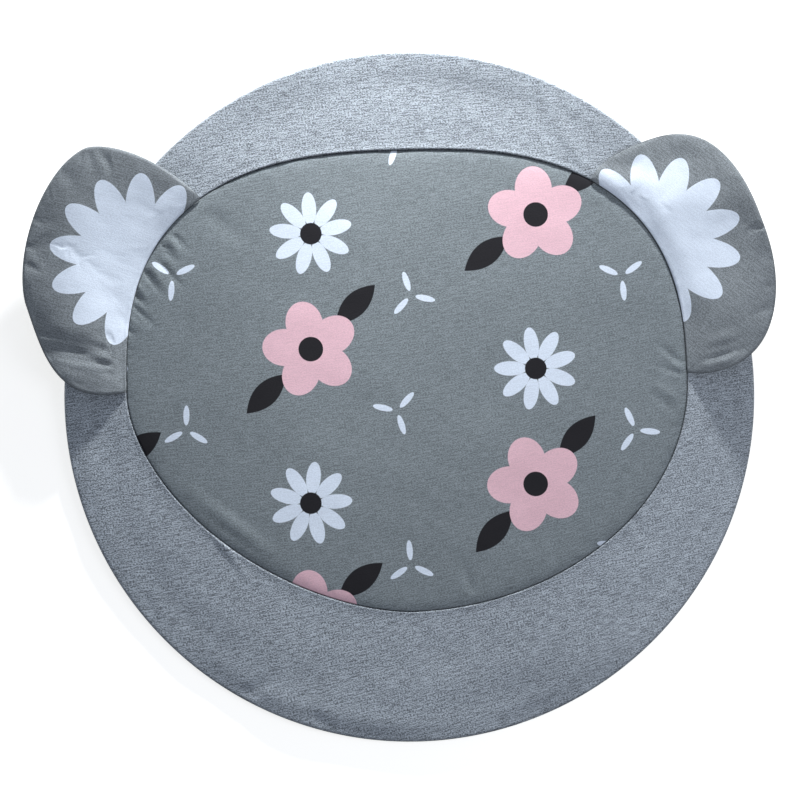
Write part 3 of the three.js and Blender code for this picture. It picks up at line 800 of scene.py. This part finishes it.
def makeDisc():
    d = discCover
    middle = outlines["panel"]
    points, around, past, inside = discSheet()
    coarse = (slice(None, None, 2), slice(None, None, 2))
    nearRim = d["hold"] + d["rimHold"] * (1 - inside[coarse] / d["rimHoldWidth"])
    hold = np.where(inside[coarse] < d["rimHoldWidth"], nearRim, d["hold"])
    hold[:, 0] = 1
    hold[:, -d["sewnLoops"]:] = 1
    slack = strongerAt(around[coarse], d["slack"], d["slackPlaces"]) * np.exp(-past[coarse] / d["slackDepth"])
    points = points + refined(settledCloth("disc", points[coarse], hold, slack, True, d["cap"]), True)
    heading = np.stack([np.cos(around[:, 0]), np.sin(around[:, 0])], -1)
    # flat place of the front cloth: its length along each ray, from the seam out
    pieces = np.linalg.norm(np.diff(points, axis=1), axis=-1)
    start = np.linalg.norm(points[:, 0, :2] - (middle["x"], middle["y"]), axis=-1)[:, None]
    length = np.concatenate([start, start + np.cumsum(pieces, 1)], 1)
    flatX, flatY = middle["x"] + length * heading[:, :1], middle["y"] + length * heading[:, 1:]
    flat = [clothPlace(d["rows"], flatX, flatY)]
    # the back, from the rim's seam in to the middle
    rim = reach(insideDisc, middle["x"], middle["y"], around[:, 0])[:, None]
    insets = np.array(d["underRim"])
    shares = np.array(d["underShares"])
    distance = np.concatenate([rim - insets, (rim - insets[-1]) * shares], 1)
    x = middle["x"] + distance * heading[:, :1]
    y = middle["y"] + distance * heading[:, 1:]
    z = d["seamLow"] * (1 - rounded(insideDisc(x, y), d["underWidth"]))
    z[:, 0] = (d["seamLow"] + d["seamMiddle"]) / 2
    under = np.stack([x, y, z], -1)
    flat.append(clothPlace(d["rows"], x, y))
    # the hollow under the panel
    foot = points[:, :1] - np.concatenate([d["footIn"] * heading, np.zeros((len(heading), 1))], 1)[:, None]
    foot[..., 2] = d["seat"]
    seat = (foot + [[[middle["x"], middle["y"], d["seat"]]]]) / 2
    hollow = np.concatenate([seat, foot], 1)
    flat.insert(0, clothPlace(d["rows"], hollow[..., 0], hollow[..., 1]))
    rows = np.concatenate([hollow, points, under], 1)
    slices, loops = rows.shape[:2]
    index = np.arange(slices * loops).reshape(slices, loops)
    after = np.roll(index, -1, 0)
    quads = np.stack([index[:, :-1], index[:, 1:], after[:, 1:], after[:, :-1]], -1).reshape(-1, 4)
    top, bottom = slices * loops, slices * loops + 1
    faces = [tuple(f) for f in quads]
    faces += [(top, int(a), int(b)) for a, b in zip(index[:, 0], after[:, 0])]
    faces += [(bottom, int(b), int(a)) for a, b in zip(index[:, -1], after[:, -1])]
    poles = np.array([[middle["x"], middle["y"], d["seat"]], [middle["x"], middle["y"], 0.0]])
    allPoints = np.concatenate([rows.reshape(-1, 3), poles])
    flatPoles = clothPlace(d["rows"], poles[:, 0], poles[:, 1])
    flatAll = np.concatenate([np.concatenate(flat, 1).reshape(-1, 2), flatPoles])
    allX, allY = allPoints[:, 0], allPoints[:, 1]
    # painted shade: the colour darkens along the panel's seam and along the rim, most at the lower edge
    pastSeam = insidePanel(allX, allY) + d["seamGap"]
    innerSeamShade = np.exp(-(pastSeam / d["seamShadeWidth"]) ** 2)
    paintedRimShade = strongerAt(np.arctan2(allY, allX), d["paintedRimShade"], d["paintedRimShadePlaces"])
    rimSeam = paintedRimShade * np.exp(-(insideDisc(allX, allY) / d["rimShadeWidth"]) ** 2)
    seam = np.maximum(innerSeamShade, rimSeam)
    return makePiece("discCover", allPoints, faces, flatAll, seam, heatherJersey)


discPiece = makeDisc()
print("disc made")


# ear flaps: caught in the seam by the root and arching over the ring, with the rim held up off it
earFlaps = {
    "cells": 128, "insets": [0.9, 0.25, 0, 0.35, 1.2, 2.6, 4.6, 7.2, 10.4, 14],
    "rootLevel": 13.9, "lie": 16, "lieFrom": 4,  # sewn in at the root, and lying on the ring from so far out
    "edge": 2.4, "loft": 6, "rootRoll": 28,
    "least": 1.6,  # about the least thickness, which the thickness runs into softly
    "rimHalf": 3.2, "rimShare": 0.45, "underRoll": 9,
    "bellyFrom": 8, "bellyTo": 80,  # a thin rim and a fuller middle
    "rimRoll": 4.5, "lowRoll": 14, "rollLow": 40, "rollHigh": 110,  # the rim is rounder at the lower end
    "fallLow": 70, "fallHigh": 290,  # heights up the mat over which the upper end comes to rise less
    "sagFrom": 440, "sagTo": 508, "sag": 11,  # beyond the mat's rim, sideways
    "bendAway": 30,  # the bends grow away from the root over this width
    # the turned seam stands up along the lower edge, higher and lower by turns
    "lip": 0.8, "lipInset": 3.4, "lipWide": 1.6, "lipPlaces": [(270, 50, 1)], "lipSwing": 0.5,
    "lipWave": 46, "lipDrift": 11, "lipDriftBy": 2,
    "seamDip": [(0, 0), (1, 0.35), (2, 0.7)],  # loops in from the rim, and half the thickness there
    "gathers": {"radius": 120, "spacing": 13, "length": 12, "base": 0.16},
    "filling": [(120, 0.5, 5), (55, 0.3, 7), (28, 0.08, 8)],
    "calm": 9,  # the creases fade out so near the edge
    "rimCloth": 14, "frontCloth": 6, "backCloth": 2,  # so much more cloth goes over the rounded rim
    "sewnLoops": 3, "slackShare": 2,
    # painted shade along the ear's rim seam, stronger at the lower edge away from the lamp, and how wide it
    # is
    "paintedRimShade": 0.2, "paintedRimShadePlaces": [(270, 75, 0.9)],
    "hold": 0.08, "slack": 0.16, "cap": 1.6, "fill": 0.45, "seamShadeWidth": 1.8,
}
# x and y: the middle from which the points spread. The top rises away from the root, over a width that
# differs between the lower and the upper end. Bends: the heights up the mat where one starts and ends, and
# its drop.
ears = {
    "earLeft": {
        "piece": "earLeftCover", "x": -442, "y": 190,
        "lowRise": 18, "lowWidth": 40, "rise": 29, "riseWidth": 72, "rootLow": 40, "rootHigh": 170,
        "upperFall": 0.25, "fallFrom": 60, "fallTo": 220,
        "bends": [(60, 6, 4)], "sag": 8, "seed": 31, "rows": -16,
        "creases": [
            (-496, 70, -376, 46, 64, -5.0, 0.5),
            (-494, 91, -452, 75, 13, -2.6, 0.3),
            (-490, 78, -416, 62, 13, 1.4, 0.3),
            (-470, 66, -398, 52, 11, -1.5, 0.6),
            (-430, 62, -379, 46, 10, 1.2, 0.7),
            (-424, 50, -380, 36, 11, -1.6, 0.7),
            (-470, 50, -390, 32, 16, 1.2, 0.5),
            (-382, 58, -418, 68, 7, -1.9, 0.2),
            (-381, 66, -420, 78, 7, 1.0, 0.2),
            (-381, 74, -412, 86, 7, -1.7, 0.2),
            (-381, 42, -420, 48, 7, -1.8, 0.2),
            (-382, 28, -410, 34, 8, -1.5, 0.2),
            (-506, 196, -470, 190, 14, -1.6, 0.2),
            (-500, 236, -468, 222, 14, -1.2, 0.2),
            (-500, 172, -462, 160, 16, -1.2, 0.2),
            (-392, 316, -384, 278, 16, -1.4, 0.3),
            (-412, 322, -408, 284, 18, -1.0, 0.3),
        ],
        "places": [(298, 24, 0.8), (350, 40, 0.5), (100, 40, 0.3)],
    },
    "earRight": {
        "piece": "earRightCover", "x": 406, "y": 226,
        "lowRise": 23, "lowWidth": 48, "rise": 31, "riseWidth": 88, "rootLow": 95, "rootHigh": 245,
        "upperFall": 0.7, "fallFrom": 50, "fallTo": 180,
        "bends": [(245, 350, 17)], "sag": 14, "seed": 37, "rows": -38,
        "creases": [
            (312, 322, 276, 286, 26, -1.0, 0.6),
            (520, 290, 380, 300, 240, 7.0, 0.5),
            (468, 222, 432, 214, 12, -2.4, 0.1),
            (470, 232, 440, 228, 10, 0.9, 0.2),
            (446, 282, 402, 286, 12, 0.8, 0.3),
            (474, 118, 428, 100, 16, -1.4, 0.2),
            (478, 146, 440, 138, 12, -0.9, 0.2),
            (364, 34, 448, 60, 6, 1.5, 0.5),
            (364, 42, 444, 67, 9, -1.6, 0.5),
            (430, 84, 372, 66, 22, 1.4, 0.4),
        ],
        "places": [(200, 30, 0.3), (250, 20, 0.4), (0, 40, 0.25)],
    },
}


def earCrest(name, x, y):  # the upper side, before the rim's roll
    e, ear = earFlaps, ears[name]
    fromRoot = np.maximum(-insidePanel(x, y) - rootGap, 0)
    near = 1 - smoothStep(fromRoot, ear["fallFrom"], ear["fallTo"])
    fall = ear["upperFall"] * smoothStep(y, e["fallLow"], e["fallHigh"]) * near
    higher = smoothStep(y, ear["rootLow"], ear["rootHigh"])
    width = ear["lowWidth"] + (ear["riseWidth"] - ear["lowWidth"]) * higher
    highest = ear["lowRise"] + (ear["rise"] - ear["lowRise"]) * higher
    rise = highest * (1 - np.exp(-(fromRoot / width) ** 2)) * (1 - fall)
    full = e["edge"] + e["loft"] * eased(fromRoot, e["rootRoll"])
    bent = sum(drop * smoothStep(y, level, end) for level, end, drop in ear["bends"])
    bent = bent * (1 - np.exp(-(fromRoot / e["bendAway"]) ** 2))
    return e["rootLevel"] + full + rise - bent - ear["sag"] * smoothStep(np.abs(x), e["sagFrom"], e["sagTo"])


def earHeights(name, x, y):  # top, seam level at the rim, and underside
    e = earFlaps
    fromRoot = np.maximum(-insidePanel(x, y) - rootGap, 0)
    bed = e["rootLevel"] + (e["lie"] - e["rootLevel"]) * rounded(fromRoot, e["lieFrom"])
    bed = bed - e["sag"] * smoothStep(np.abs(x), e["sagFrom"], e["sagTo"])
    thickness = earCrest(name, x, y) - bed
    crest = bed + (thickness + e["least"] + np.hypot(thickness - e["least"], e["least"])) / 2
    inside = np.maximum(insideOval(name, x, y), 0)
    half = np.minimum(e["rimHalf"], e["rimShare"] * (crest - bed))
    lip = crest - half
    belly = bed + (lip - half - bed) * (1 - smoothStep(inside, e["bellyFrom"], e["bellyTo"]))
    roll = e["lowRoll"] + (e["rimRoll"] - e["lowRoll"]) * smoothStep(y, e["rollLow"], e["rollHigh"])
    top = crest - half * (1 - rounded(inside, roll))
    return top, lip, lip + (belly - lip) * rounded(inside, e["underRoll"])


def earPlace(name, x, y, inset, spread):  # flat place: the cloth runs on over the rounded rim
    ear = ears[name]
    away = np.hypot(x - ear["x"], y - ear["y"]) + 1e-6
    extra = spread * (1 - np.clip(inset / earFlaps["rimCloth"], 0, 1)) ** 2
    u = x + (x - ear["x"]) / away * extra
    v = y + (y - ear["y"]) / away * extra
    turn = math.radians(ear["rows"])
    across = u * math.cos(turn) + v * math.sin(turn)
    return np.stack([across, v * math.cos(turn) - u * math.sin(turn)], -1)


def makeEar(name, material):
    e, ear = earFlaps, ears[name]
    angle, loop = squareGrid(e["cells"])
    last = e["cells"] // 2
    distance, reached = sheetInsets(
        angle, loop, e["cells"], e["insets"], lambda x, y: insideEar(name, x, y), ear["x"], ear["y"])
    x = ear["x"] + distance * np.cos(angle)
    y = ear["y"] + distance * np.sin(angle)
    edgeX = ear["x"] + reached * np.cos(angle)
    edgeY = ear["y"] + reached * np.sin(angle)
    edgeLip = earHeights(name, edgeX, edgeY)[1]
    top, _, bottom = earHeights(name, x, y)
    inset = reached - distance
    opened = rounded(np.maximum(insideEar(name, x, y), 0), e["calm"])
    g = e["gathers"]
    gathers = seamGathers(angle, inset, ear["seed"], g["radius"], g["spacing"], g["length"])
    gathers = gathers * strongerAt(angle, g["base"], ear["places"])
    filling = looseFilling(x, y, ear["seed"], e["filling"])
    top += opened * (creaseHeight(ear["creases"], x, y) + filling + gathers)
    drift = np.sin(angle * e["lipDrift"]) * e["lipDriftBy"]
    uneven = 1 + e["lipSwing"] * np.sin(angle * e["lipWave"] + drift)
    lowEdge = strongerAt(angle, 0, e["lipPlaces"]) * uneven
    top += e["lip"] * lowEdge * np.exp(-((inset - e["lipInset"]) / e["lipWide"]) ** 2)
    for back, half in e["seamDip"]:  # the seam lies in a small dip
        ring = loop == last - back
        top[ring] = (edgeLip + half)[ring]
        bottom[ring] = (edgeLip - half)[ring]
    front = np.stack([x, y, top], -1)
    coarse = (slice(None, None, 2), slice(None, None, 2))
    hold = np.where(loop[coarse] >= last - e["sewnLoops"], 1.0, e["hold"])
    slackPlaces = [(place, halfWidth, e["slackShare"] * more) for place, halfWidth, more in ear["places"]]
    slack = strongerAt(angle[coarse], e["slack"], slackPlaces)
    front = front + refined(settledCloth(name, front[coarse], hold, slack, False, e["cap"]), False)
    side = e["cells"] + 1
    back = np.stack([x, y, bottom], -1).reshape(-1, 3)
    inner = np.nonzero((loop < last).ravel())[0]
    backIndex = np.arange(side * side)
    backIndex[inner] = side * side + np.arange(len(inner))
    faces = [tuple(f) for f in gridFaces(side, side)]
    faces += [tuple(f) for f in backIndex[gridFaces(side, side, flip=True)]]
    allPoints = np.concatenate([front.reshape(-1, 3), back[inner]])
    flatFront = earPlace(name, x, y, inset, e["frontCloth"]).reshape(-1, 2)
    flatBack = earPlace(name, x, y, inset, e["backCloth"]).reshape(-1, 2)[inner]
    allX, allY = allPoints[:, 0], allPoints[:, 1]
    # painted shade along the ear's outline, most at its lower edge, where its shadow falls
    heading = np.arctan2(allY - ear["y"], allX - ear["x"])
    paintedRimShade = strongerAt(heading, e["paintedRimShade"], e["paintedRimShadePlaces"])
    seam = paintedRimShade * np.exp(-(insideOval(name, allX, allY) / e["seamShadeWidth"]) ** 2)
    flat = np.concatenate([flatFront, flatBack])
    return makePiece(ear["piece"], allPoints, faces, flat, seam, material)


leftEar = makeEar("earLeft", leftEarJersey)
rightEar = makeEar("earRight", rightEarJersey)
print("ears made")

# stitches: short bars of sewing thread laid along each seam
stitching = {
    "threadColour": "#4b4f53", "sides": 6, "rings": 5, "seed": 7,
    "twistScale": 0.9, "twistBend": 1.5,  # a turn in 0.35 mm
    "twistTone": 0.4, "grooveTone": 0.55, "lintScale": 0.08, "lintTone": 0.5,
    "relief": 0.08, "reliefStrength": 0.6, "roughness": 0.55, "ior": 1.54,
    # lean and tilt: degrees that a stitch is turned from the seam, and the most that it strays from that
    "panelSeam": {  # a ladder across the seam
        "pitch": 3.1, "length": 1.7, "thickness": 0.5, "lean": 62, "tilt": 9, "lift": 0.1, "step": 0.5},
    "rimSeam": {
        "pitch": 3.3, "length": 2.4, "thickness": 0.55, "lean": 12, "tilt": 5, "inset": 0.7, "step": 0.5},
    "earSeams": {
        "pitch": 3.0, "length": 2.1, "thickness": 0.5, "lean": 20, "tilt": 8, "inset": 0.8, "step": 0.75},
}


def threadMaterial():
    # spun polyester sewing thread: fine twisted fibres, so a soft silky gloss broken by the twist
    material = bpy.data.materials.new("spun polyester sewing thread, twisted")
    material.use_nodes = True
    tree = material.node_tree
    shader = tree.nodes["Principled BSDF"]
    coordinates = addNode(tree, "ShaderNodeTexCoord")
    place = addNode(tree, "ShaderNodeVectorMath", {"operation": "SCALE"}, {
        0: coordinates.outputs["Object"], "Scale": 1000.0})
    twist = addNode(tree, "ShaderNodeTexWave", {"bands_direction": "DIAGONAL"}, {
        "Vector": place.outputs[0], "Scale": stitching["twistScale"],
        "Distortion": stitching["twistBend"], "Detail": 1.0})
    lint = addNode(tree, "ShaderNodeTexNoise", {}, {
        "Vector": place.outputs[0], "Scale": stitching["lintScale"], "Detail": 2.0})
    tone = addNode(tree, "ShaderNodeMath", {"operation": "MULTIPLY_ADD"}, {
        0: twist.outputs["Fac"], 1: stitching["twistTone"], 2: stitching["grooveTone"]})
    both = addNode(tree, "ShaderNodeMath", {"operation": "MULTIPLY_ADD"}, {
        0: lint.outputs[0], 1: stitching["lintTone"], 2: tone.outputs[0]})
    colour = addNode(tree, "ShaderNodeVectorMath", {"operation": "SCALE"}, {
        0: linearColour(stitching["threadColour"])[:3], "Scale": both.outputs[0]})
    tree.links.new(colour.outputs[0], shader.inputs["Base Color"])
    relief = addNode(tree, "ShaderNodeBump", {}, {
        "Height": twist.outputs["Fac"], "Strength": stitching["reliefStrength"],
        "Distance": stitching["relief"] * mm})
    tree.links.new(relief.outputs[0], shader.inputs["Normal"])
    shader.inputs["Roughness"].default_value = stitching["roughness"]
    shader.inputs["IOR"].default_value = stitching["ior"]
    return material


def stitchTree():
    tree = bpy.data.node_groups.new("stitches along a path", "GeometryNodeTree")
    tree.is_modifier = True
    sockets = [("Geometry", "Geometry"), ("Pitch", "Float"), ("Length", "Float"), ("Thickness", "Float"),
               ("Lean", "Float"), ("Tilt", "Float"), ("Seed", "Int"), ("Thread", "Material")]
    for name, kind in sockets:
        tree.interface.new_socket(name, in_out="INPUT", socket_type="NodeSocket" + kind)
    tree.interface.new_socket("Geometry", in_out="OUTPUT", socket_type="NodeSocketGeometry")
    given = tree.nodes.new("NodeGroupInput").outputs
    path = addNode(tree, "GeometryNodeMeshToCurve", {}, {"Mesh": given["Geometry"]})
    spaced = addNode(tree, "GeometryNodeResampleCurve", {"mode": "LENGTH"}, {
        "Curve": path.outputs[0], "Length": given["Pitch"]})
    bead = addNode(tree, "GeometryNodeMeshUVSphere", {}, {
        "Segments": stitching["sides"], "Rings": stitching["rings"], "Radius": 0.5})
    size = addNode(tree, "ShaderNodeCombineXYZ", {}, {
        0: given["Length"], 1: given["Thickness"], 2: given["Thickness"]})
    tangent = addNode(tree, "GeometryNodeInputTangent")
    along = addNode(tree, "FunctionNodeAlignRotationToVector", {"axis": "X"}, {"Vector": tangent.outputs[0]})
    less = addNode(tree, "ShaderNodeMath", {"operation": "MULTIPLY"}, {0: given["Tilt"], 1: -1.0})
    sway = addNode(tree, "FunctionNodeRandomValue", {"data_type": "FLOAT"}, {
        2: less.outputs[0], 3: given["Tilt"], "Seed": given["Seed"]})
    turn = addNode(tree, "ShaderNodeMath", {"operation": "ADD"}, {0: given["Lean"], 1: sway.outputs[1]})
    aboutUp = addNode(tree, "ShaderNodeCombineXYZ", {}, {2: turn.outputs[0]})
    leaning = addNode(tree, "FunctionNodeEulerToRotation", {}, {0: aboutUp.outputs[0]})
    turned = addNode(tree, "FunctionNodeRotateRotation", {"rotation_space": "LOCAL"}, {
        "Rotation": along.outputs[0], "Rotate By": leaning.outputs[0]})
    placed = addNode(tree, "GeometryNodeInstanceOnPoints", {}, {
        "Points": spaced.outputs[0], "Instance": bead.outputs[0],
        "Rotation": turned.outputs[0], "Scale": size.outputs[0]})
    real = addNode(tree, "GeometryNodeRealizeInstances", {}, {0: placed.outputs[0]})
    sewn = addNode(tree, "GeometryNodeSetMaterial", {}, {
        "Geometry": real.outputs[0], "Material": given["Thread"]})
    out = tree.nodes.new("NodeGroupOutput")
    tree.links.new(sewn.outputs[0], out.inputs[0])
    return tree


stitchesAlong, thread = stitchTree(), threadMaterial()


def makeStitches(name, look, paths):  # paths: closed loops of points in millimetres
    points = np.concatenate(paths)
    edges, start = [], 0
    for path in paths:
        here = np.arange(len(path)) + start
        edges += np.stack([here, np.roll(here, -1)], -1).tolist()
        start += len(path)
    mesh = bpy.data.meshes.new(name + "Path")
    mesh.from_pydata((points * mm).tolist(), edges, [])
    seam = bpy.data.objects.new(name + "Path", mesh)
    scene.collection.objects.link(seam)
    modifier = seam.modifiers.new("stitches", "NODES")
    modifier.node_group = stitchesAlong
    values = {"Pitch": look["pitch"] * mm, "Length": look["length"] * mm, "Thickness": look["thickness"] * mm,
              "Lean": math.radians(look["lean"]), "Tilt": math.radians(look["tilt"]),
              "Seed": stitching["seed"], "Thread": thread}
    for item in stitchesAlong.interface.items_tree:
        if item.in_out == "INPUT" and item.name in values:
            modifier[item.identifier] = values[item.name]
    made = seam.evaluated_get(bpy.context.evaluated_depsgraph_get())
    bars = bpy.data.meshes.new_from_object(made)
    bpy.data.objects.remove(seam)
    bars.polygons.foreach_set("use_smooth", np.ones(len(bars.polygons), bool))
    stitches = bpy.data.objects.new(name, bars)
    scene.collection.objects.link(stitches)
    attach(stitches, "root")
    return len(bars.polygons)


def outlineLoop(inside, middleX, middleY, step):  # points along an outline, one each so many degrees
    angle = np.radians(np.arange(0, 360, step))
    distance = reach(inside, middleX, middleY, angle)
    return middleX + distance * np.cos(angle), middleY + distance * np.sin(angle)


panelSeam, rimSeam, earSeams = stitching["panelSeam"], stitching["rimSeam"], stitching["earSeams"]
seamX, seamY = outlineLoop(insidePanel, outlines["panel"]["x"], outlines["panel"]["y"], panelSeam["step"])
rimX, rimY = outlineLoop(lambda x, y: insideDisc(x, y) - rimSeam["inset"], 0, 0, rimSeam["step"])
panelLoop = np.stack([seamX, seamY, np.full_like(seamX, frontPanel["seamLevel"] + panelSeam["lift"])], -1)
rimLoop = np.stack([rimX, rimY, np.full_like(rimX, discCover["seamMiddle"])], -1)
earLoops = []
for name, ear in ears.items():
    edgeX, edgeY = outlineLoop(
        lambda x, y: insideEar(name, x, y) - earSeams["inset"], ear["x"], ear["y"], earSeams["step"])
    earLoops.append(np.stack([edgeX, edgeY, earHeights(name, edgeX, edgeY)[1]], -1))
bars = makeStitches("panelStitches", panelSeam, [panelLoop])
bars += makeStitches("rimStitches", rimSeam, [rimLoop])
bars += makeStitches("earStitches", earSeams, earLoops)
print("stitches made:", bars, "faces")

for piece, node, slot, fill in (
    (discPiece, "disc_pad", "ring_jersey", discCover["fill"]),
    (panelCover, "front_panel", "front_jersey", frontPanel["fill"]),
    (leftEar, "ear_left", "front_jersey", earFlaps["fill"]),
    (rightEar, "ear_right", "front_jersey", earFlaps["fill"]),
):
    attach(piece, "root")
    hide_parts(node)
